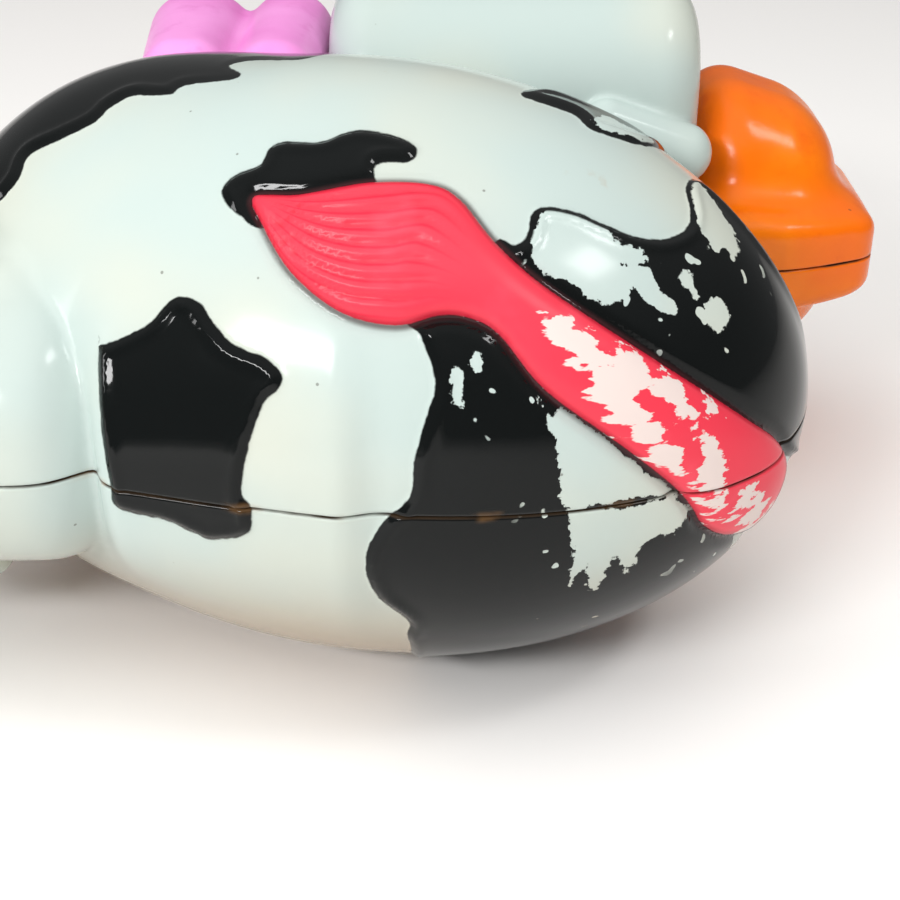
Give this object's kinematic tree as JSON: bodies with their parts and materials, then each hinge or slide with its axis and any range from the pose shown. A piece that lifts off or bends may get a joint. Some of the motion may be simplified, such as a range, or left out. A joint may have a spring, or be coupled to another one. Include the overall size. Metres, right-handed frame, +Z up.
{
  "type": "novelty toy chicken",
  "caption": "Hard-shell novelty chicken in a cow suit: egg body with moulded tail and spots, legs, webbed foot, udder, turning head, swivel wings, groan tube inside.",
  "frame": {"origin": "centre of the bounding box on the floor plane that the toy lies on", "axes": "+X from the crown to the foot, +Y from the back to the belly, +Z up from the chicken's right side to its left side"},
  "size_m": [0.243, 0.1422, 0.099],
  "materials": {
    "suit_white": "gloss",
    "orange": "gloss",
    "pink": "gloss",
    "comb_red": "gloss",
    "eye_black": "gloss",
    "voice_grey": "matte",
    "reed_clear": "matte"
  },
  "bodies": {
    "body": {"suit_shell_left": "suit_white", "suit_shell_right": "suit_white", "foot_shell_left": "orange", "foot_shell_right": "orange", "udder": "pink", "voice_tube": "voice_grey", "voice_cap_front": "voice_grey", "voice_cap_back": "voice_grey"},
    "head": {"head_shell_left": "suit_white", "head_shell_right": "suit_white", "beak_upper": "orange", "beak_lower": "orange", "comb": "comb_red", "wattle": "comb_red", "eye_left": "eye_black", "eye_right": "eye_black"},
    "wing_left": {"wing_left": "suit_white"},
    "wing_right": {"wing_right": "suit_white"},
    "voice_weight": {"voice_weight": "voice_grey", "voice_reed": "reed_clear"}
  },
  "joints": [
    {"name": "head_turn", "type": "hinge", "parent": "body", "child": "head", "pos_m": [-0.0555, -0.0383, 0.0495], "axis": [1, 0, 0], "range_deg": [-80, 80]},
    {"name": "wing_left_flap", "type": "hinge", "parent": "body", "child": "wing_left", "pos_m": [-0.0415, -0.0353, 0.0495], "axis": [0, 0, 1], "range_deg": [-25, 25]},
    {"name": "wing_right_flap", "type": "hinge", "parent": "body", "child": "wing_right", "pos_m": [-0.0415, -0.0353, 0.0495], "axis": [0, 0, 1], "range_deg": [-25, 25]},
    {"name": "voice_slide", "type": "slide", "parent": "body", "child": "voice_weight", "axis": [1, 0, 0], "range_m": [0, 0.035]}
  ]
}
